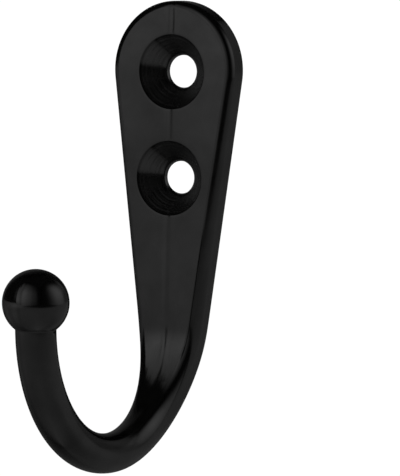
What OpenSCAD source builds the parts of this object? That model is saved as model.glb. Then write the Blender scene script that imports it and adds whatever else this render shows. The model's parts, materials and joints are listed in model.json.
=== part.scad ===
// Coat hook: one cast piece. A flat tapered plate with two countersunk screw holes
// runs down into a round arm that bends forward and up to a ball tip.
// The wall is the plane y = 0, the hook comes forward along -Y, and +Z is up.
// The origin is on the wall plane, midway between the two screw holes.

/* [Plate] */
// Width across the round top
top_d = 17.15; // [16:0.05:20]
// Thickness of the plate
plate_t = 3.15; // [3:0.05:4.5]
// Height from the centre of the round top down to the start of the bend
plate_drop = 32.2; // [28:0.1:36]
// Lean of each side edge, in degrees
side_taper = 7.5; // [6:0.5:8.5]
// Rounding of the front edge round the top
edge_r_top = 0.95; // [0.3:0.05:1.2]
// Rounding of the front edge at the start of the bend
edge_r_low = 1.35; // [0.4:0.05:1.4]
// Rounding of the edge against the wall
back_r = 0.4; // [0.2:0.1:0.6]

/* [Screw holes] */
// Distance between the two holes
hole_pitch = 13.2; // [12:0.1:18]
// Height of the centre of the round top above the upper hole
hole_drop = 0.2; // [0:0.1:1.5]
// Diameter of the holes
hole_d = 4; // [3.8:0.1:4.6]
// Diameter of the countersinks at the front face
csink_d = 9.3; // [8.4:0.1:9.6]
// Angle of the countersinks, from side to side, in degrees
csink_angle = 90; // [90:1:100]

/* [Arm] */
// Diameter of the round arm
arm_d = 4.9; // [4:0.1:6]
// Radius of the bend that leaves the plate, at the middle of the section
plate_bend_r = 14.2; // [12:0.1:18]
// Radius of the bend that rises to the tip, at the middle of the section
tip_bend_r = 17.45; // [13:0.05:20]
// Turn of the bend that rises to the tip, in degrees
tip_turn = 88; // [75:1:100]
// Length of bend over which the flat section turns round
blend_len = 20; // [14:0.5:26]

/* [Ball] */
// Diameter of the ball
ball_d = 8; // [7:0.1:11]
// Length of straight arm from the bend to the centre of the ball
ball_rise = 2.75; // [2.5:0.05:8]

/* [Hidden] */
// Facets of exact round shapes
$fn = 96;
// Steps round each corner of the section
corner_steps = 7;
// Steps round each side of the top
round_steps = 16;
// Steps along the curved arm
bend_steps = 48;
// Share of the arm's half thickness that its corners take, short of 1 so that no face vanishes
arm_round = 0.98;
// How far a cutting tool runs past the face that it leaves
cut_past = 0.5;

top_r = top_d / 2;
half_t = plate_t / 2;
arm_r = arm_d / 2;
hole_r = hole_d / 2;
csink_r = csink_d / 2;
// Heights of the round top's centre and of the start of the bend
round_z = hole_pitch / 2 + hole_drop;
bend_z = round_z - plate_drop;
// Half width of the plate at the start of the bend
low_half_w = top_r * cos(side_taper) - (plate_drop - top_r * sin(side_taper)) * tan(side_taper);
csink_depth = (csink_r - hole_r) / tan(csink_angle / 2);
// Lengths of the two bends along the middle of the section
plate_bend_len = plate_bend_r * PI / 2;
tip_bend_len = tip_bend_r * tip_turn * PI / 180;
bend_len = plate_bend_len + tip_bend_len;
ring_size = 4 * (corner_steps + 1);
half_ring = ring_size / 2;

function mix(a, b, share) = a + (b - a) * share;

// Rises smoothly from 0 to 1 as t goes from 0 to 1
function ease(t) = let (u = min(max(t, 0), 1)) u * u * (3 - 2 * u);

// A quarter circle about [x, n] from a start angle
function corner(x, n, r, start) = [
    for (i = [0 : corner_steps])
        let (a = start + 90 * i / corner_steps)
        [x + r * cos(a), n + r * sin(a)]
];

// Cross section, n towards the front: both back corners have radius rb, both front ones rf
function section(half_w, half_h, rf, rb) = concat(
    corner(half_w - rb, rb - half_h, rb, -90),
    corner(half_w - rf, half_h - rf, rf, 0),
    corner(rf - half_w, half_h - rf, rf, 90),
    corner(rb - half_w, rb - half_h, rb, 180)
);

// One ring of the round top: its section is turned about the centre, up on both sides alike
function top_ring(angle) = [
    for (p = section(top_r, half_t, edge_r_top, back_r))
        [p[0] * cos(angle), -half_t - p[1], round_z + abs(p[0]) * sin(angle)]
];

// The crest of the round top, where its two sides meet
crest = [for (i = [0 : half_ring - 1]) top_ring(90)[i]];

// How far the arm has turned from straight down, in degrees, at a length along the bends
function turn_at(s) = s < plate_bend_len
    ? 90 * s / plate_bend_len
    : 90 + (s - plate_bend_len) / tip_bend_r * 180 / PI;

// Middle of the section there, as [y, z]: each bend is an arc about its own centre
function middle_at(s) =
    let (
        turn = turn_at(s),
        r = turn < 90 ? plate_bend_r : tip_bend_r,
        lift = turn < 90 ? 0 : tip_bend_r - plate_bend_r
    )
    [-half_t - plate_bend_r + r * cos(turn), bend_z + lift - r * sin(turn)];

// The section there: the plate's taper runs on while the flat turns into the round arm
function section_at(s) =
    let (
        share = ease(s / blend_len),
        half_w = mix(low_half_w - s * tan(side_taper), arm_r, share),
        half_h = mix(half_t, arm_r, share),
        full_r = min(half_w, half_h) * arm_round
    )
    section(half_w, half_h, mix(edge_r_low, full_r, share), mix(back_r, full_r, share));

// One ring across the arm, moved on along its own direction by a straight length
function arm_ring(s, straight) =
    let (turn = turn_at(s), m = middle_at(s))
    [
        for (p = section_at(s)) [
            p[0],
            m[0] - p[1] * cos(turn) - straight * sin(turn),
            m[1] + p[1] * sin(turn) - straight * cos(turn)
        ]
    ];

rings = concat(
    [for (i = [1 : round_steps]) top_ring(mix(90, -side_taper, i / round_steps))],
    [for (i = [0 : bend_steps]) arm_ring(bend_len * i / bend_steps, 0)],
    [arm_ring(bend_len, ball_rise)]
);

// Centre of the ball, on the middle of the arm
tip_turned = turn_at(bend_len);
ball_centre = [
    0,
    middle_at(bend_len)[0] - ball_rise * sin(tip_turned),
    middle_at(bend_len)[1] - ball_rise * cos(tip_turned)
];

// Index of a point of a ring, after the points of the crest
function at(ring, i) = half_ring + ring * ring_size + i % ring_size;

// Index of the crest's point above a point of the first ring
function above(i) = let (k = i % ring_size) k < half_ring ? k : ring_size - 1 - k;

// A four-sided face as triangles, or one triangle where two corners are the same
function facet(a, b, c, d) = a == b ? [[a, d, c]] : [[a, c, b], [a, d, c]];

// The plate and arm as one skin, from the crest down the plate and along the arm
module plate_and_arm() {
    last = len(rings) - 1;
    crest_faces = [
        for (i = [0 : ring_size - 1])
            each facet(above(i), above(i + 1), at(0, i + 1), at(0, i))
    ];
    side_faces = [
        for (ring = [0 : last - 1], i = [0 : ring_size - 1])
            each facet(at(ring, i), at(ring, i + 1), at(ring + 1, i + 1), at(ring + 1, i))
    ];
    end_face = [for (i = [1 : ring_size]) at(last, ring_size - i)];
    polyhedron(
        points = concat(crest, [for (ring = rings) each ring]),
        faces = concat(crest_faces, side_faces, [end_face]),
        convexity = 4
    );
}

module ball() {
    translate(ball_centre)
        sphere(d = ball_d);
}

// A round hole with a countersink at the front face
module screw_hole(z) {
    past_r = csink_r + cut_past * tan(csink_angle / 2);
    profile = [
        [0, -cut_past],
        [hole_r, -cut_past],
        [hole_r, plate_t - csink_depth],
        [past_r, plate_t + cut_past],
        [0, plate_t + cut_past]
    ];
    translate([0, 0, z])
        rotate([90, 0, 0])
            rotate_extrude()
                polygon(profile);
}

module hook() {
    color([0.09, 0.09, 0.1])
        difference() {
            union() {
                plate_and_arm();
                ball();
            }
            for (side = [-1, 1])
                screw_hole(side * hole_pitch / 2);
        }
}

hook();
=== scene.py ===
# %% [markdown]
# # A cast coat hook with a glossy black coating
# The real hook is one zinc casting: a flat tapered plate with two countersunk screw holes,
# which runs down into a round arm that bends forward and up to a ball. A thin black coating
# covers all of it. There is nothing else to build, so the work goes into one clean skin,
# because a glossy surface shows every fault in its shape, and into what it mirrors.
#
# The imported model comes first. It is the fixed frame: it says where the hook is and how large,
# and the skin made here has to fit it.

# %% Load the frame
import json
from math import atan2, cos, pi, radians, sin, sqrt, tan

import bmesh
import bpy
from mathutils import Matrix, Quaternion, Vector


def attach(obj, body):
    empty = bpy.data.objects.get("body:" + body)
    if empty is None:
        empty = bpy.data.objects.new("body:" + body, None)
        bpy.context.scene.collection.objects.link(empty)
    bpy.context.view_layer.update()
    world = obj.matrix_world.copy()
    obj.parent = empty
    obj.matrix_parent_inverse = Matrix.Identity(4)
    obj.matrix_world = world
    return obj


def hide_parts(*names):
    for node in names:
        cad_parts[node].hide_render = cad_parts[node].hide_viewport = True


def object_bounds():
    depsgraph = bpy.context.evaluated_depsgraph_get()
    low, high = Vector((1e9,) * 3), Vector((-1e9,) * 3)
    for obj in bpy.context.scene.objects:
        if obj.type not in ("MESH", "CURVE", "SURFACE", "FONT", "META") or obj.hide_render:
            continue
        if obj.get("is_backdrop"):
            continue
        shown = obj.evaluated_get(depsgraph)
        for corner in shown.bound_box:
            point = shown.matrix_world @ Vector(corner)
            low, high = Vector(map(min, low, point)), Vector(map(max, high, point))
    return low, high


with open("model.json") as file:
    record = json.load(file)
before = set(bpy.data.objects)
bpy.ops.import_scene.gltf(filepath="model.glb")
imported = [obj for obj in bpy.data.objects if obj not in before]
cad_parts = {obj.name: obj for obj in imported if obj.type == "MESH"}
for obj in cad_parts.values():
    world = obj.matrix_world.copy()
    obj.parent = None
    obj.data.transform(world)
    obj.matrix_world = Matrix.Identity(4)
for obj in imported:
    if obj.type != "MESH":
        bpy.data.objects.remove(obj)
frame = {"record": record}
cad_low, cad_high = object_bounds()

MM = 0.001
for corner_name, corner_at in (("lowest", cad_low), ("highest", cad_high)):
    print("CAD box,", corner_name, "corner in mm:", [round(c / MM, 2) for c in corner_at])

# %% [markdown]
# ## The camera
# A small thing seen from close by looks swollen. A long lens from half a metre away keeps the
# plate's sides almost free of perspective. The camera stands to the right of the hook and a
# little above it. Blender keeps an object's turn as one rotation: the first part aims the camera
# at a point, and the second rolls it by a degree about its own axis.

# %% The camera
camera_at = Vector((259.303, -441.609, 26.056)) * MM
aim_at = Vector((8.922, -10.486, -13.085)) * MM
camera_roll = radians(1.353)

lens = bpy.data.cameras.new("long_lens")
lens.sensor_width = 36
lens.lens = 311.39
lens.clip_start = 0.05
lens.clip_end = 20
camera = bpy.data.objects.new("camera", lens)
bpy.context.scene.collection.objects.link(camera)
camera.location = camera_at
camera.rotation_mode = "QUATERNION"
aimed = (aim_at - camera_at).to_track_quat("-Z", "Y")
camera.rotation_quaternion = aimed @ Quaternion((0, 0, 1), camera_roll)
bpy.context.scene.camera = camera
print("camera is", round((aim_at - camera_at).length / MM), "mm from the hook")

# %% [markdown]
# ## The sizes
# Two sizes come straight from the record: where the screws go, and how wide their holes are.
# The rest are the casting's own sizes, the same as in the CAD. Keeping them in one place, in
# millimetres times MM, lets the rest of the script speak of plates and bends, not of numbers.

# %% Sizes of the casting
screw_dims = next(m for m in frame["record"]["mounts"] if m["name"] == "screw_holes")["dims"]
hole_pitch = screw_dims["spacing_y_mm"] * MM
hole_r = screw_dims["hole_r_mm"] * MM

top_r = 8.575 * MM        # the round top
plate_t = 3.15 * MM       # thickness of the plate
plate_drop = 32.2 * MM    # from the round top's centre down to the start of the bend
side_taper = radians(7.5)
edge_r_top = 0.95 * MM    # rounding of the front edge, which grows on the way down
edge_r_low = 1.35 * MM
back_r = 0.4 * MM         # rounding of the edge against the wall

csink_r = 4.65 * MM       # the countersinks, at the front face
csink_angle = radians(90)

arm_r = 2.45 * MM
plate_bend_r = 14.2 * MM  # the bend that leaves the plate, at the middle of the section
tip_bend_r = 17.45 * MM   # the bend that rises to the ball
tip_turn = radians(88)
blend_len = 20 * MM       # length of bend over which the flat section turns round
ball_r = 4.0 * MM
ball_rise = 2.75 * MM     # straight arm from the bend to the ball's centre

round_z = cad_high[2] - top_r
bend_z = round_z - plate_drop
half_t = plate_t / 2
low_half_w = top_r * cos(side_taper) - (plate_drop - top_r * sin(side_taper)) * tan(side_taper)
print("plate is", round(2 * low_half_w / MM, 2), "mm wide where the bend starts")

# %% [markdown]
# ## One cross-section
# Every cut across the hook is a ring of the same number of vertices: a rectangle with rounded
# corners in the plate, a circle in the arm. Each vertex knows its place in the ring. A circle
# gives the ring, and pushing its four quarters apart turns it into the rounded rectangle.
# In the plate the first and last vertex of a quarter sit exactly where the rounding meets the
# flat, so that the flats are true planes. In the round arm all vertices are evenly spaced.

# %% The cross-section
QUARTER = 16              # vertices in each quarter of a ring
RING = 4 * QUARTER
FRONT_FLAT = {QUARTER - 1, QUARTER}         # the two places that the front flat lies between
BACK_FLAT = {3 * QUARTER - 1, 3 * QUARTER}


def mix(a, b, share):
    return a + (b - a) * share


def ease(t):
    """Rises smoothly from 0 to 1 as t goes from 0 to 1."""
    t = min(max(t, 0.0), 1.0)
    return t * t * (3 - 2 * t)


def section_point(place, half_w, half_h, front_r, rear_r, roundness):
    """Where a vertex lies on the section: x to the side, n towards the front."""
    quarter, step = divmod(place, QUARTER)
    to_flats = step / (QUARTER - 1)
    evenly = (step + 0.5) / QUARTER
    angle = (quarter + mix(to_flats, evenly, roundness)) * pi / 2
    to_right = 1 if quarter in (0, 3) else -1
    to_front = 1 if quarter in (0, 1) else -1
    r = front_r if to_front > 0 else rear_r
    return (half_w - r) * to_right + r * cos(angle), (half_h - r) * to_front + r * sin(angle)


print("a ring has", RING, "vertices")

# %% [markdown]
# ## Growing the skin ring by ring
# `extrude_edge_only` is the operator behind the editor's Extrude on edges: it copies a row of
# edges and joins copy and original with faces. A custom layer on the vertices holds each one's
# place, and the copies inherit it, so after each extrude the new row can be put where it belongs.

# %% Start a mesh, and grow it
skin = bmesh.new()
place_of = skin.verts.layers.int.new("place")


def grow(edges, put):
    """Extrudes a row of edges, puts each new vertex where put(place) says, and returns the new row."""
    made = bmesh.ops.extrude_edge_only(skin, edges=edges)["geom"]
    new_verts = {g for g in made if isinstance(g, bmesh.types.BMVert)}
    for v in new_verts:
        v.co = put(v[place_of])
    return [g for g in made if isinstance(g, bmesh.types.BMEdge) and set(g.verts) <= new_verts]


start = bmesh.ops.create_circle(skin, segments=RING, radius=arm_r)["verts"]
for place, v in enumerate(start):
    v[place_of] = place
start_ring = list(skin.edges)
print("the first ring has", len(start_ring), "edges")

# %% [markdown]
# ## The line of the arm
# The middle of the section runs along two arcs: a tighter one that leaves the plate, and a wider
# one that rises to the ball. Where a flat meets an arc at once, a glossy skin mirrors a hard line.
# The real casting shows none there, since its bend tightens gradually. So around the start of the
# bend the skin is led a few hundredths of a millimetre in front of the first arc.

# %% The line of the arm
soft_len = 2.4 * MM       # how far the gradual start of the bend reaches to either side
plate_bend_len = plate_bend_r * pi / 2
bend_len = plate_bend_len + tip_bend_r * tip_turn


def turn_at(s):
    """How far the arm has turned from straight down, at a length s along the bends."""
    if s < plate_bend_len:
        return s / plate_bend_r
    return pi / 2 + (s - plate_bend_len) / tip_bend_r


def arm_frame(s):
    """The middle of the section there, the way the arm runs, and the way its front faces."""
    if s < 0:
        return Vector((0, -half_t, bend_z - s)), Vector((0, 0, -1)), Vector((0, -1, 0))
    turn = turn_at(s)
    r, lift = (plate_bend_r, 0) if turn < pi / 2 else (tip_bend_r, tip_bend_r - plate_bend_r)
    middle = Vector((0, -half_t - plate_bend_r + r * cos(turn), bend_z + lift - r * sin(turn)))
    return middle, Vector((0, -sin(turn), -cos(turn))), Vector((0, -cos(turn), sin(turn)))


def lead(s):
    """How far a bend that tightens gradually from straight lies in front of the plain arc."""
    if s < soft_len:
        gradual = (s + soft_len) ** 3 / (12 * soft_len * plate_bend_r)
        return gradual - max(s, 0) ** 2 / (2 * plate_bend_r)
    return soft_len ** 2 / (6 * plate_bend_r) * (1 - ease((s - soft_len) / (blend_len - soft_len)))


print("the skin leads the first arc by", round(lead(soft_len) / MM, 3), "mm at most")

# %% [markdown]
# ## The arm
# On the way to the ball the section turns from the plate's rounded rectangle to the arm's circle.
# A curve with a bevel could make a bent bar, but not one whose section changes its shape, so the
# ring is extruded along the line and reshaped a little at each step. The arm ends where the
# fillet between it and the ball begins. That fillet's centre lies neck_r off both of them, which
# gives a triangle to work its place out from.

# %% The arm
BEND_STEPS = 110
neck_r = 0.22 * MM        # the fillet between arm and ball


def arm_point(s, place):
    """A point of the skin: place in the ring, at a length s along the bends."""
    share = ease(s / blend_len)
    half_w = mix(low_half_w - s * tan(side_taper), arm_r, share)
    half_h = mix(half_t, arm_r, share)
    full_r = min(half_w, half_h)
    front_r = mix(edge_r_low, full_r, share)
    x, n = section_point(place, half_w, half_h, front_r, mix(back_r, full_r, share), share)
    middle, _, front = arm_frame(s)
    return middle + front * (n + lead(s)) + Vector((x, 0, 0))


end_middle, end_along, _ = arm_frame(bend_len)
ball_at = end_middle + end_along * ball_rise
fillet_back = sqrt((ball_r + neck_r) ** 2 - (arm_r + neck_r) ** 2)
neck_at = bend_len + min(0, ball_rise - fillet_back)

for v in start:
    v.co = arm_point(-soft_len, v[place_of])
row = start_ring
for step in range(1, BEND_STEPS + 1):
    s = mix(-soft_len, neck_at, step / BEND_STEPS)
    row = grow(row, lambda place: arm_point(s, place))
print("the arm is", round(neck_at / MM, 1), "mm long, in", BEND_STEPS, "steps")

# %% [markdown]
# ## The ball
# The ball is cast with the arm, and the coating leaves only a fine fillet where they meet. A
# sphere could be joined on with a Boolean, but its edge would then need a bevel of its own. So
# the same ring grows on: round the fillet, over the ball, and down to a point at its top, where
# all its vertices are merged into one.

# %% The ball and its neck
NECK_STEPS = 6
BALL_STEPS = 48
fillet_turn = atan2(fillet_back, arm_r + neck_r)
ball_along = (ball_at - arm_frame(neck_at)[0]).normalized()
ball_front = Vector((0, ball_along.z, -ball_along.y))


def ball_ring(radius, beyond):
    """Puts a ring round the arm's axis, at a distance beyond the ball's centre."""
    def put(place):
        angle = (place + 0.5) * 2 * pi / RING
        across = Vector((cos(angle), 0, 0)) + ball_front * sin(angle)
        return ball_at + ball_along * beyond + across * radius
    return put


for step in range(NECK_STEPS + 1):
    a = fillet_turn * step / NECK_STEPS
    row = grow(row, ball_ring(arm_r + neck_r * (1 - cos(a)), neck_r * sin(a) - fillet_back))
contact = pi / 2 - fillet_turn
for step in range(1, BALL_STEPS + 1):
    a = mix(pi - contact, 0, step / BALL_STEPS)
    row = grow(row, ball_ring(ball_r * sin(a), ball_r * cos(a)))
last_ring = {v for e in row for v in e.verts}
bmesh.ops.pointmerge(skin, verts=list(last_ring), merge_co=ball_at + ball_along * ball_r)
print("ball centre in mm:", [round(c / MM, 2) for c in ball_at])

# %% [markdown]
# ## The edge of the plate
# From the start of the bend the two sides grow upwards, as far as the line where the round top
# takes over. Then `spin` sweeps the right side's profile about the round's centre, over the top
# and on to the left side. What comes out is a band all round the plate, still open at the front
# and at the back. An outline with a Bevel modifier would be quicker to draw, but the rounding
# grows on the way down, and here it can.

# %% The sides and the round top
SIDE_STEPS = 24
ROUND_STEPS = 72
TOUCHING = 0.0005 * MM    # vertices that are closer than this are one


def side_point(down, place):
    """A point of the plate's edge: down is 0 where the round top begins and 1 at the bend."""
    front_r = mix(edge_r_top, edge_r_low, down)
    x, n = section_point(place, top_r, half_t, front_r, back_r, 0)
    inset = top_r - abs(x)
    x_low = low_half_w + soft_len * tan(side_taper) - inset
    x_high = (top_r - inset) * cos(side_taper)
    z_high = round_z - (top_r - inset) * sin(side_taper)
    side = 1 if x > 0 else -1
    return Vector((side * mix(x_high, x_low, down), -half_t - n, mix(z_high, bend_z + soft_len, down)))


def joins(edge, places):
    return {v[place_of] for v in edge.verts} == places


row = [e for e in start_ring if not joins(e, FRONT_FLAT) and not joins(e, BACK_FLAT)]
for step in range(1, SIDE_STEPS + 1):
    row = grow(row, lambda place: side_point(1 - step / SIDE_STEPS, place))
right = [e for e in row if sum(v.co.x for v in e.verts) > 0]
bmesh.ops.spin(
    skin,
    geom=right + list({v for e in right for v in e.verts}),
    cent=(0, 0, round_z),
    axis=(0, -1, 0),
    angle=pi + 2 * side_taper,
    steps=ROUND_STEPS,
)
bmesh.ops.remove_doubles(skin, verts=skin.verts, dist=TOUCHING)
print("faces so far:", len(skin.faces))

# %% [markdown]
# ## The profile of a screw hole
# A countersunk hole is a turned shape, so it is drawn once, as half of its outline. On the real
# hook the cutter left faint rings on the cone, and the coating runs softly from the cone into the
# bore. So the cone is a row of short steps with a ripple in them, and a curve leads on from it.
# A noise in the material could give rings too, but it would not follow them round the hole.

# %% The profile of a screw hole
CONE_RINGS = 25
CONE_STEPS = 4 * CONE_RINGS
THROAT_STEPS = 6
FACE_MARGIN = 0.3 * MM     # how much of the flat faces the profile takes with it
throat_r = 2.4 * MM        # where the cone gives way to the curve
bore_r = 2.1 * MM          # the bore where it leaves the curve; it narrows a little to the back
throat_reach = 0.12 * MM   # how far down the bore the curve ends
ring_height = 0.0042 * MM  # of the fine rings on the cone
wave_height = 0.003 * MM   # of the broad waves under them
BROAD_WAVES = ((5, 1, 0), (8.5, 0.7, 1))    # how many on the cone, their share, where they begin
fade = 0.08                # share of the cone over which the rings begin and end


def cone_depth(r):
    return (csink_r - r) / tan(csink_angle / 2)


def cone_point(t):
    """Distance from the hole's axis and depth: t is 0 at the rim and 1 at the throat."""
    r = mix(csink_r, throat_r, t)
    rings = ring_height * sin(2 * pi * CONE_RINGS * t + pi / 4)
    waves = wave_height * sum(share * sin(2 * pi * count * t + begin) for count, share, begin in BROAD_WAVES)
    ripple = (rings + waves) * ease(t / fade) * ease((1 - t) / fade)
    return r - ripple, cone_depth(r) - ripple


def throat_point(t):
    """The curve from the cone into the bore: it leaves along the cone and arrives along the bore."""
    start_depth = cone_depth(throat_r)
    corner_depth = start_depth + throat_r - bore_r
    end_depth = corner_depth + throat_reach
    r = mix(throat_r, bore_r, 1 - (1 - t) ** 2)
    return r, (1 - t) ** 2 * start_depth + 2 * t * (1 - t) * corner_depth + t * t * end_depth


profile = [(csink_r + FACE_MARGIN, 0)]
profile += [cone_point(step / CONE_STEPS) for step in range(CONE_STEPS + 1)]
profile += [throat_point(step / THROAT_STEPS) for step in range(1, THROAT_STEPS + 1)]
profile += [(hole_r, plate_t), (hole_r + FACE_MARGIN, plate_t)]
print("the profile of a screw hole has", len(profile), "points")

# %% [markdown]
# ## The screw holes
# Bevelling the profile's two sharp corners gives the soft rim and the soft back edge that catch
# the light. Then the profile is spun about the hole's axis. The turned part is marked on the
# vertices, because the coating looks duller on it. The mark fades out before both faces of the
# plate, which stay as glossy as the rest.

# %% The screw holes
HOLE_STEPS = 96
CORNER_STEPS = 6
rim_rounding = 0.03 * MM
back_rounding = 0.10 * MM
turned_below = 0.1 * MM   # the turned part begins this far below the front face
turned_fade = 0.2 * MM
turned_layer = skin.verts.layers.float.new("turned")


def screw_hole(z):
    known = set(skin.verts)
    chain = [skin.verts.new((r, depth - plate_t, z)) for r, depth in profile]
    for pair in zip(chain, chain[1:]):
        skin.edges.new(pair)
    for corner, rounding in ((chain[1], rim_rounding), (chain[-2], back_rounding)):
        bmesh.ops.bevel(
            skin, geom=[corner], offset=rounding, offset_type="OFFSET", segments=CORNER_STEPS,
            profile=0.5, affect="VERTICES", material=-1,
        )
    verts = [v for v in skin.verts if v not in known]
    edges = list({e for v in verts for e in v.link_edges})
    bmesh.ops.spin(
        skin, geom=verts + edges, cent=(0, 0, z), axis=(0, 1, 0),
        angle=2 * pi, steps=HOLE_STEPS, use_merge=True,
    )
    for v in set(skin.verts) - known:
        below_front = v.co.y + plate_t
        above_back = -v.co.y
        turned = ease((below_front - turned_below) / turned_fade) * ease(above_back / turned_fade)
        v[turned_layer] = turned


for side in (1, -1):
    screw_hole(side * hole_pitch / 2)
print("each countersink is", round(cone_depth(hole_r) / MM, 2), "mm deep")

# %% [markdown]
# ## The front and the back face
# Both faces are flat, bounded by the band outside and by the two holes inside.
# `triangle_fill` fills such an outline and leaves the inner loops open. A Boolean could cut the
# holes out of a plate instead, but it leaves long thin faces that spoil the shading.

# %% Fill the two flat faces
FLAT_WITHIN = 0.001 * MM
for y in (-plate_t, 0):
    rim = [
        e for e in skin.edges
        if e.is_boundary and all(abs(v.co.y - y) < FLAT_WITHIN for v in e.verts)
    ]
    made = bmesh.ops.triangle_fill(skin, use_beauty=True, edges=rim)["geom"]
    print("flat face at y =", y, "has", sum(isinstance(g, bmesh.types.BMFace) for g in made), "triangles")
bmesh.ops.recalc_face_normals(skin, faces=skin.faces)
open_edges = sum(not e.is_manifold for e in skin.edges)
print("open edges:", open_edges, " volume in mm3:", round(skin.calc_volume() / MM**3, 1))

# %% [markdown]
# ## The parting line
# The two halves of the casting mould met on the hook's middle plane. The line was ground off,
# and what is left of it on the front is a groove less than two hundredths of a millimetre deep.
# It shows as a thin dark line beside a thin light one. A modelled groove is more work than a
# painted one, but it bends the reflections as the real one does. `bisect_plane` cuts the front
# at a few places across the groove, so that there are vertices to push in.

# %% Cut the front along the parting line
groove = [
    # distance to the right of the middle, depth, and how much thicker the coating's film is
    (-0.95 * MM, 0, 0),
    (-0.75 * MM, 0.003 * MM, 0.3),
    (-0.5 * MM, 0.011 * MM, 1),
    (-0.25 * MM, 0.018 * MM, 0.5),
    (-0.05 * MM, 0.019 * MM, -0.6),
    (0.15 * MM, 0.011 * MM, -1),
    (0.35 * MM, 0.002 * MM, -0.6),
    (0.5 * MM, 0, 0),
]
groove_end = bend_z - 11 * MM


def faces_forward(thing):
    """True for a face or vertex of the plate's front and of the bend's floor."""
    return thing.normal.y < -0.1 and thing.normal.y < -0.55 * thing.normal.z


for x, _, _ in groove:
    front = [f for f in skin.faces if faces_forward(f) and f.calc_center_median().z > groove_end]
    around = list({g for f in front for g in (*f.verts, *f.edges)})
    bmesh.ops.bisect_plane(skin, geom=front + around, dist=TOUCHING, plane_co=(x, 0, 0), plane_no=(1, 0, 0))
skin.normal_update()
print("faces after the cuts:", len(skin.faces))

# %% [markdown]
# ## The groove and its film
# Each vertex in the groove is pushed in along its normal, by the depth at the nearest cut. The
# groove fades out below, on the bend's floor. Wet coating gathers along one side of such a line
# and runs thin along the other, so the vertices of the flat plate also keep how thick it is.

# %% Push the groove in
groove_fade = 6 * MM
film_fade_low = 4 * MM    # above the start of the bend
film_fade_high = 2 * MM   # below the round top's centre
face_skin = 0.02 * MM     # only vertices this close to the front face take the film
film_layer = skin.verts.layers.float.new("film_by_line")
pushed = 0
for v in skin.verts:
    if groove[0][0] < v.co.x < groove[-1][0] and faces_forward(v):
        _, depth, film_change = min(groove, key=lambda stop: abs(stop[0] - v.co.x))
        if v.co.y < face_skin - plate_t:
            on_plate = ease((v.co.z - bend_z) / film_fade_low) * ease((round_z - v.co.z) / film_fade_high)
            v[film_layer] = film_change * on_plate
        v.co -= v.normal * depth * ease((v.co.z - groove_end) / groove_fade)
        pushed += 1
open_edges = sum(not e.is_manifold for e in skin.edges)
print("the parting line moved", pushed, "vertices; open edges:", open_edges)

# %% [markdown]
# ## Where a hand finished the casting
# The floor of the bend is hard to reach with a wheel, so it is ground by hand, along the bend,
# and the marks show through the coating. The material can't know where that floor is. A value
# from 0 to 1 on each vertex tells it. A painted mask would do the same, but this one follows the
# sizes above when they change.

# %% Mark the floor of the bend
marks_begin = bend_z + 1.5 * MM
marks_begin_fade = 4 * MM
marks_end = ball_at.z - 21 * MM
marks_end_fade = 5 * MM
behind_ball = 8 * MM      # the floor lies at least this far behind the ball's centre
finish_layer = skin.verts.layers.float.new("hand_finished")
for v in skin.verts:
    below_begin = ease((marks_begin - v.co.z) / marks_begin_fade)
    above_end = ease((v.co.z - marks_end) / marks_end_fade)
    facing_in = ease(v.normal.z / 0.2 + 1) if v.normal.y < 0.2 else 0
    on_floor = 1 if v.co.y > ball_at.y + behind_ball else 0
    v[finish_layer] = below_begin * above_end * facing_in * on_floor
print("hand finished:", sum(v[finish_layer] > 0.5 for v in skin.verts), "vertices")

# %% [markdown]
# ## The finished piece
# The bmesh becomes a mesh, and the mesh an object at the origin. Smooth shading blends the
# normals over every edge, which would bulge the wide flat faces near their rims. The Weighted
# Normal modifier lets the larger face win, so the flats stay flat and only the roundings curve.

# %% Make the object
hook_mesh = bpy.data.meshes.new("coat_hook")
skin.to_mesh(hook_mesh)
skin.free()
hook_mesh.shade_smooth()
hook = bpy.data.objects.new("coat_hook", hook_mesh)
bpy.context.scene.collection.objects.link(hook)
even_flats = hook.modifiers.new("even_flats", "WEIGHTED_NORMAL")
even_flats.mode = "FACE_AREA"
even_flats.weight = 50
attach(hook, "root")
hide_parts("hook")
print("the hook's mesh has", len(hook_mesh.vertices), "vertices and", len(hook_mesh.polygons), "faces")

# %% [markdown]
# ## Tools for the materials
# A material is a net of nodes, and most of its nodes are noises and small sums. These helpers
# make one node each, set its sockets, link it, and give back its output, so that a finish can be
# written in the order in which it is thought of.

# %% Helpers for materials
def material(name):
    made = bpy.data.materials.new(name)
    made.use_nodes = True
    return made, made.node_tree.nodes, made.node_tree.links


def noise(nodes, links, vector, per_mm, detail):
    """A noise texture with about per_mm bumps to the millimetre."""
    made = nodes.new("ShaderNodeTexNoise")
    made.inputs["Scale"].default_value = per_mm / MM
    made.inputs["Detail"].default_value = detail
    links.new(vector, made.inputs["Vector"])
    return made


def spread(nodes, links, value, levels, to_levels):
    """Stretches a value from two levels to two others."""
    made = nodes.new("ShaderNodeMapRange")
    for socket, level in zip(("From Min", "From Max", "To Min", "To Max"), (*levels, *to_levels)):
        made.inputs[socket].default_value = level
    links.new(value, made.inputs["Value"])
    return made


def maths(nodes, links, operation, first, second):
    """Adds, multiplies or compares two values. Each is a number or another node's output."""
    made = nodes.new("ShaderNodeMath")
    made.operation = operation
    for socket, term in zip(made.inputs, (first, second)):
        if isinstance(term, (int, float)):
            socket.default_value = term
        else:
            links.new(term, socket)
    return made.outputs["Value"]


print("materials so far:", len(bpy.data.materials))

# %% [markdown]
# ## The black coating
# The coating is a thin, glossy black lacquer. It has almost no colour of its own: what is seen
# is the studio mirrored in it. It is never as even as glass, though. Here a slow noise moves the
# roughness, so that some places mirror a little more softly. In the countersinks the coating
# lies over the cutter's rings and is duller, which the mark on the vertices tells. The black
# itself hardly varies. A plain black with one roughness would look like plastic.

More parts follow.
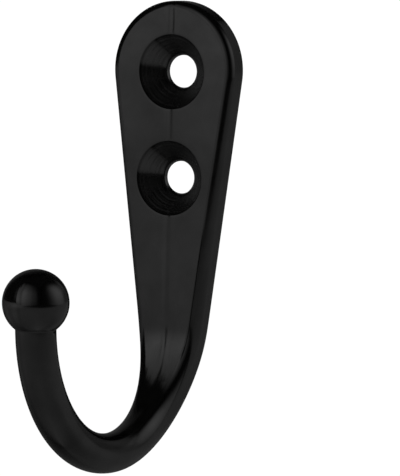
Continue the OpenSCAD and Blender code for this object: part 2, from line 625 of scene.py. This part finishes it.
# %% Its gloss and its black
cloud_size = 0.45         # clouds to the millimetre
roughness = (0.10, 0.17)  # where the coating is clearest, and where it is cloudy
turned_duller = 0.12      # what the turned part adds to that
coating, nodes, links = material("black_coating")
gloss = nodes["Principled BSDF"]
gloss.inputs["IOR"].default_value = 1.45
where = nodes.new("ShaderNodeTexCoord").outputs["Object"]


def marked(name):
    """A mark that the skin's vertices carry."""
    made = nodes.new("ShaderNodeAttribute")
    made.attribute_name = name
    return made.outputs["Fac"]


cloudy = noise(nodes, links, where, cloud_size, 3).outputs["Fac"]
clouds = spread(nodes, links, cloudy, (0.3, 0.7), roughness).outputs["Result"]
turned = marked("turned")
dull = maths(nodes, links, "ADD", clouds, maths(nodes, links, "MULTIPLY", turned, turned_duller))
links.new(dull, gloss.inputs["Roughness"])

black = nodes.new("ShaderNodeMix")
black.data_type = "RGBA"
black.inputs["A"].default_value = (0.0005, 0.0005, 0.0005, 1)
black.inputs["B"].default_value = (0.0010, 0.0010, 0.0009, 1)
links.new(cloudy, black.inputs["Factor"])
links.new(black.outputs["Result"], gloss.inputs["Base Color"])
print("the coating's roughness runs from", roughness[0], "to", round(roughness[1] + turned_duller, 2))

# %% [markdown]
# ## The film of lacquer
# The lacquer runs while it is wet, and it dries thicker in some places than in others. A thicker
# film mirrors a little more. The Coat of the Principled shader is such a film: one more glossy
# layer on top, whose weight may vary. A broad noise moves it over the plate, and the parting
# line adds its own. In the countersinks the film is thick enough to gloss over the dull cone.
# The noise is taken in four dimensions, because the fourth picks which clouds the hook gets.

# %% Its film
film_most = 0.3           # the coat's weight where the film is thickest
film_at_line = 0.15       # how far the parting line moves it, up and down
film_in_turned = 0.8
gloss.inputs["Coat Roughness"].default_value = 0.14
film_clouds = noise(nodes, links, where, 0.14, 5)
film_clouds.noise_dimensions = "4D"
film_clouds.inputs["W"].default_value = 24.8
film_clouds.inputs["Roughness"].default_value = 0.62
film = spread(nodes, links, film_clouds.outputs["Fac"], (0.35, 0.65), (0, film_most)).outputs["Result"]
by_line = maths(nodes, links, "MULTIPLY", marked("film_by_line"), film_at_line)
film = maths(nodes, links, "ADD", film, by_line)
sealed = maths(nodes, links, "MULTIPLY", turned, film_in_turned)
links.new(maths(nodes, links, "MAXIMUM", sealed, film), gloss.inputs["Coat Weight"])
print("the film's weight runs up to", max(film_most, film_in_turned))

# %% [markdown]
# ## The relief of the coating
# The coating sets with a faint unevenness, and it follows the marks of grinding on the floor of
# the bend. All of this is far below a hundredth of a millimetre on the plate, so it is no work
# for the mesh. A Bump node tilts the shading instead, and gets its heights in micrometres. For
# the grinding marks a Mapping node stretches a noise along the hook, so its spots become streaks.

# %% Its relief
uneven_height = 3.0       # heights in micrometres
fine_height = 0.25
ground_height = 18.0
streak_stretch = 0.16     # a noise this much slower along the hook than across it
uneven = noise(nodes, links, where, 1.1, 2).outputs["Fac"]
fine = noise(nodes, links, where, 4.5, 1).outputs["Fac"]
along = nodes.new("ShaderNodeMapping")
along.inputs["Scale"].default_value = (1, streak_stretch, streak_stretch)
links.new(where, along.inputs["Vector"])
streaks = noise(nodes, links, along.outputs["Vector"], 1.4, 2).outputs["Fac"]
ground = maths(nodes, links, "MULTIPLY", streaks, marked("hand_finished"))

height = maths(
    nodes, links, "ADD",
    maths(nodes, links, "MULTIPLY", uneven, uneven_height),
    maths(nodes, links, "MULTIPLY", fine, fine_height),
)
height = maths(nodes, links, "ADD", height, maths(nodes, links, "MULTIPLY", ground, ground_height))
bump = nodes.new("ShaderNodeBump")
bump.inputs["Strength"].default_value = 1
bump.inputs["Distance"].default_value = 0.001 * MM
links.new(height, bump.inputs["Height"])
links.new(bump.outputs["Normal"], gloss.inputs["Normal"])
hook_mesh.materials.append(coating)
print("the coating's shader has", len(nodes), "nodes")

# %% [markdown]
# ## The studio's floor
# A glossy black thing shows its studio more than itself, so what lights the picture and what the
# coating mirrors are kept apart. The floor is matt and white for the camera and for diffuse
# light, and for glossy rays it isn't there at all.

# %% The floor
FLOOR_Z = -0.5
FLOOR_HALF = 6            # half of its side


def stage_object(name, mesh_maker, finish_material):
    """A thing of the studio, which is not part of the hook."""
    shape = bmesh.new()
    shape.loops.layers.uv.new("UVMap")
    mesh_maker(shape)
    mesh = bpy.data.meshes.new(name)
    shape.to_mesh(mesh)
    shape.free()
    mesh.materials.append(finish_material)
    made = bpy.data.objects.new(name, mesh)
    bpy.context.scene.collection.objects.link(made)
    made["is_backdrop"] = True
    return made


def floor_shape(shape):
    level = Matrix.Translation((0, 0, FLOOR_Z))
    bmesh.ops.create_grid(shape, x_segments=1, y_segments=1, size=FLOOR_HALF, matrix=level, calc_uvs=True)


pale, pale_nodes, _ = material("pale_floor")
matt = pale_nodes["Principled BSDF"]
matt.inputs["Base Color"].default_value = (0.98, 0.98, 0.98, 1)
matt.inputs["Roughness"].default_value = 1
matt.inputs["Specular IOR Level"].default_value = 0
floor = stage_object("floor", floor_shape, pale)
floor.visible_glossy = False
print("the floor is", round(-FLOOR_Z / MM), "mm below the hook's origin")

# %% [markdown]
# ## The studio's world
# The world is the light that comes from all sides. A Light Path node tells which kind of ray
# asks for it. The camera and diffuse rays get white, and glossy rays get almost black, so that
# only what is set up on purpose shows in the coating. A white tent round the hook would light it
# as evenly, but it would be mirrored too.

# %% The world
world_light = (1.05, 1.05, 1.05, 1)
world_mirrored = (0.012, 0.012, 0.012, 1)
world = bpy.data.worlds.new("studio")
world.use_nodes = True
world_nodes = world.node_tree.nodes
world_links = world.node_tree.links
ray = world_nodes.new("ShaderNodeLightPath")
shade = world_nodes.new("ShaderNodeMix")
shade.data_type = "RGBA"
shade.inputs["A"].default_value = world_light
shade.inputs["B"].default_value = world_mirrored
world_links.new(ray.outputs["Is Glossy Ray"], shade.inputs["Factor"])
world_links.new(shade.outputs["Result"], world_nodes["Background"].inputs["Color"])
bpy.context.scene.world = world
bpy.context.scene.view_settings.view_transform = "Standard"
print("glossy rays see", round(world_mirrored[0] / world_light[0], 3), "of the world's light")

# %% [markdown]
# ## What a card glows with
# What the coating mirrors is a few glowing cards, which only glossy rays see. Area lights would
# do too, but a card can be brighter in its middle than at its rim, and that soft fall is what
# makes a reflection look like lacquer. An Emission shader gives the glow, and a ramp turns a
# place on the card into a level of brightness.

# %% What a card glows with
def level_ramp(nodes, links, value, stops):
    """Turns a value into a brightness, by a ramp of pairs of place and level."""
    made = nodes.new("ShaderNodeValToRGB")
    while len(made.color_ramp.elements) < len(stops):
        made.color_ramp.elements.new(0.5)
    for element, (at, level) in zip(made.color_ramp.elements, stops):
        element.position = at
        element.color = (level, level, level, 1)
    links.new(value, made.inputs["Fac"])
    return made.outputs["Color"]


def glowing(name):
    """A material that only glows, and the socket for how brightly."""
    glow, glow_nodes, glow_links = material(name)
    glow_nodes.remove(glow_nodes["Principled BSDF"])
    emission = glow_nodes.new("ShaderNodeEmission")
    glow_links.new(emission.outputs["Emission"], glow_nodes["Material Output"].inputs["Surface"])
    return glow, glow_nodes, glow_links, emission.inputs["Strength"]


def only_mirrored(thing):
    """Hides a thing from all but glossy rays."""
    thing.visible_camera = False
    thing.visible_diffuse = False
    thing.visible_shadow = False
    thing.visible_transmission = False


print("materials so far:", len(bpy.data.materials))

# %% [markdown]
# ## How a card is made
# Each card is a grid that hangs between four corners, given by the directions in which the ball
# sees them. Its own UV map tells every place on it from left to right and from bottom to top,
# and two ramps, one for each, are multiplied into its brightness.

# %% How a card is made
CARD_SQUARES = 12


def direction(azimuth, elevation):
    """A unit vector: azimuth 0 is straight in front of the plate, 90 to the right of it."""
    a = radians(azimuth)
    e = radians(elevation)
    return Vector((sin(a) * cos(e), -cos(a) * cos(e), sin(e)))


def corners_at(distance, *seen_at):
    """Four corners at one distance from the ball, by azimuth and elevation."""
    return [ball_at + direction(azimuth, elevation) * distance for azimuth, elevation in seen_at]


def card(name, corners, across, upwards):
    """A glowing card between four corners: bottom left, bottom right, top right, top left, as seen
    from the hook. across and upwards give its brightness as pairs of place and level."""
    glow, glow_nodes, glow_links, strength = glowing(name)
    uv = glow_nodes.new("ShaderNodeUVMap")
    uv.uv_map = "UVMap"
    split = glow_nodes.new("ShaderNodeSeparateXYZ")
    glow_links.new(uv.outputs["UV"], split.inputs["Vector"])
    both = maths(
        glow_nodes, glow_links, "MULTIPLY",
        level_ramp(glow_nodes, glow_links, split.outputs["X"], across),
        level_ramp(glow_nodes, glow_links, split.outputs["Y"], upwards),
    )
    glow_links.new(both, strength)
    low_left, low_right, top_right, top_left = corners

    def make(shape):
        made = bmesh.ops.create_grid(
            shape, x_segments=CARD_SQUARES, y_segments=CARD_SQUARES, size=0.5, calc_uvs=True
        )
        for v in made["verts"]:
            u, w = v.co.x + 0.5, v.co.y + 0.5
            v.co = low_left.lerp(low_right, u).lerp(top_left.lerp(top_right, u), w)

    made = stage_object(name, make, glow)
    only_mirrored(made)
    print(name, "is", round((low_right - low_left).length, 2), "m wide at its foot")


print("a card is a grid of", CARD_SQUARES, "by", CARD_SQUARES, "squares")

# %% [markdown]
# ## Where the cards stand
# A large softbox in front, which fades towards the right, gives the round forms their grey. The
# strip at its left is what the flat plate mirrors, and its levels from bottom to top are what
# the eye reads on the plate and down the bend's floor. A softbox on the right lights the sides of
# plate and arm. Two faint walls, one behind each side, keep the other views from turning black.

# %% The cards
card(
    "softbox_left",
    corners_at(0.43, (-24, -7), (43, -2), (43, 62), (-45, 62)),
    [
        (0, 0.6), (0.12, 0.66), (0.18, 0.85), (0.3, 0.75), (0.36, 0.65), (0.43, 0.52),
        (0.56, 0.4), (0.63, 0.28), (0.68, 0.23), (0.8, 0.16), (0.92, 0.05), (1, 0),
    ],
    [
        (0, 0.6), (0.1, 0.66), (0.2, 0.85), (0.32, 1), (0.52, 1), (0.68, 0.62), (0.9, 0.17),
        (1, 0),
    ],
)
card(
    "strip_light",
    corners_at(0.46, (-34.5, -8), (-24.5, -8), (-44, 60), (-63, 60)),
    [(0, 0.86), (0.12, 0.92), (0.4, 1.03), (0.7, 1.03), (1, 0.7)],
    [
        (0, 0.59), (0.03, 0.56), (0.07, 0.49), (0.1, 0.51), (0.13, 0.61), (0.17, 0.73),
        (0.22, 0.87), (0.3, 0.96), (0.45, 0.82), (0.6, 0.63), (0.75, 0.5), (0.88, 0.3), (1, 0),
    ],
)
card(
    "softbox_right",
    corners_at(0.43, (48, -2), (146, -2), (146, 56), (48, 56)),
    [
        (0, 0), (0.28, 0.02), (0.36, 0.08), (0.42, 0.2), (0.48, 0.38), (0.54, 0.58),
        (0.61, 0.75), (0.7, 0.75), (0.8, 0.64), (0.9, 0.48), (0.97, 0.38), (1, 0.2),
    ],
    [
        (0, 0.6), (0.12, 0.66), (0.22, 0.82), (0.38, 0.97), (0.52, 0.88), (0.62, 0.62),
        (0.72, 0.26), (0.8, 0.08), (0.9, 0.01), (1, 0),
    ],
)
card(
    "far_wall",
    corners_at(1.2, (-105, -12), (-179, -12), (-179, 70), (-105, 70)),
    [(0, 0), (0.2, 0.06), (0.3, 0.09), (0.42, 0.08), (0.56, 0.07), (0.7, 0.03), (1, 0.01)],
    [(0, 0.8), (0.3, 1), (0.45, 0.9), (0.6, 0.5), (0.75, 0.15), (0.9, 0), (1, 0)],
)
card(
    "near_wall",
    corners_at(1.2, (146, -12), (179, -12), (179, 45), (146, 45)),
    [(0, 0.2), (0.18, 0.18), (0.26, 0.1), (0.7, 0.09), (1, 0.05)],
    [(0, 0.9), (0.4, 0.8), (0.55, 1.3), (0.72, 1.3), (0.85, 0.5), (1, 0)],
)

# %% [markdown]
# ## The table
# The undersides of the arm and the ball, and the countersinks, mirror what the hook hangs above:
# a grey table that is brighter in some directions than in others. It is one more card, lying
# flat. Its brightness is drawn in three rings about a point under the hook, and the inner ring is
# kept dim as a painted shadow of the hook on the table. Within a ring it changes with the azimuth,
# for which a radial Gradient Texture serves, and each ring passes softly into the next.

# %% The levels of the table
table_z = -0.060
table_centre_y = -0.025   # the rings lie about this point, under the arm
table_rings = [
    # where the ring takes over from the one inside it, and its level by azimuth
    # the inner ring is dimmer than the outer ones: painted shadow of the hook on the table
    (0, 0, [
        (-180, 0.10), (-110, 0.06), (-90, 0.04), (-70, 0.09), (-50, 0.17), (-30, 0.21),
        (-10, 0.25), (10, 0.28), (30, 0.30), (50, 0.28), (70, 0.26), (90, 0.22), (110, 0.16),
        (130, 0.15), (150, 0.17), (180, 0.12),
    ]),
    (12 * MM, 75 * MM, [
        (-180, 0.10), (-160, 0.05), (-110, 0.04), (-90, 0.17), (-70, 0.20), (-50, 0.33),
        (-30, 0.34), (-10, 0.33), (10, 0.32), (30, 0.30), (50, 0.28), (70, 0.29), (100, 0.30),
        (120, 0.29), (140, 0.23), (152, 0.19), (180, 0.12),
    ]),
    (130 * MM, 260 * MM, [
        (-180, 0.05), (-110, 0.05), (-80, 0.20), (-60, 0.38), (-45, 0.50), (-30, 0.56),
        (-20, 0.50), (-5, 0.25), (10, 0.14), (50, 0.12), (65, 0.20), (80, 0.25), (100, 0.30),
        (130, 0.26), (150, 0.18), (180, 0.10),
    ]),
]
glow, glow_nodes, glow_links, table_strength = glowing("table_glow")
centred = glow_nodes.new("ShaderNodeMapping")
centred.inputs["Location"].default_value = (table_centre_y, 0, -table_z)
centred.inputs["Rotation"].default_value = (0, 0, pi / 2)
on_table = glow_nodes.new("ShaderNodeTexCoord").outputs["Object"]
glow_links.new(on_table, centred.inputs["Vector"])
around = glow_nodes.new("ShaderNodeTexGradient")
around.gradient_type = "RADIAL"
glow_links.new(centred.outputs["Vector"], around.inputs["Vector"])
reach = glow_nodes.new("ShaderNodeVectorMath")
reach.operation = "LENGTH"
glow_links.new(centred.outputs["Vector"], reach.inputs[0])


def table_ring(levels):
    """The ramp of one ring. The gradient runs from 0 to 1 as the azimuth goes from -180 to 180."""
    stops = [(azimuth / 360 + 0.5, level) for azimuth, level in levels]
    return level_ramp(glow_nodes, glow_links, around.outputs["Fac"], stops)


table_level = table_ring(table_rings[0][2])
for begins, full, levels in table_rings[1:]:
    outward = spread(glow_nodes, glow_links, reach.outputs["Value"], (begins, full), (0, 1))
    outward.interpolation_type = "SMOOTHSTEP"
    joined = glow_nodes.new("ShaderNodeMix")
    joined.data_type = "RGBA"
    glow_links.new(outward.outputs["Result"], joined.inputs["Factor"])
    glow_links.new(table_level, joined.inputs["A"])
    glow_links.new(table_ring(levels), joined.inputs["B"])
    table_level = joined.outputs["Result"]
glow_links.new(table_level, table_strength)
print("the table has", len(table_rings), "rings of brightness")

# %% [markdown]
# ## The table's near edge
# The table ends in front of the hook, on the right, and what is mirrored from beyond its edge
# stays dark. So the card is a large square, turned by 45 degrees and pushed back until one side
# of it lies where the table ends.

# %% The table
table_edge = 0.223        # from the wall to the table's edge, at 45 degrees to the right
table_half = 3            # half of the card's side


def table_shape(shape):
    bmesh.ops.create_grid(shape, x_segments=1, y_segments=1, size=table_half)
    bmesh.ops.rotate(shape, verts=shape.verts, matrix=Matrix.Rotation(radians(-45), 3, "Z"))
    middle = direction(45, 0) * (table_edge - table_half) + Vector((0, 0, table_z))
    bmesh.ops.translate(shape, verts=shape.verts, vec=middle)


table_card = stage_object("table_card", table_shape, glow)
only_mirrored(table_card)
print("the table lies", round(-table_z / MM), "mm below the hook's origin")

# %% [markdown]
# ## The size, once more
# A skin made with other tools than the CAD can come out a little larger or smaller. So the box
# of the CAD model and that of the finished skin are compared, and the largest gap is printed.

# %% Compare the two boxes
new_low, new_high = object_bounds()
off = max(abs(a - b) for a, b in zip((*new_low, *new_high), (*cad_low, *cad_high)))
print("the two boxes differ by", round(off / MM, 3), "mm at most")
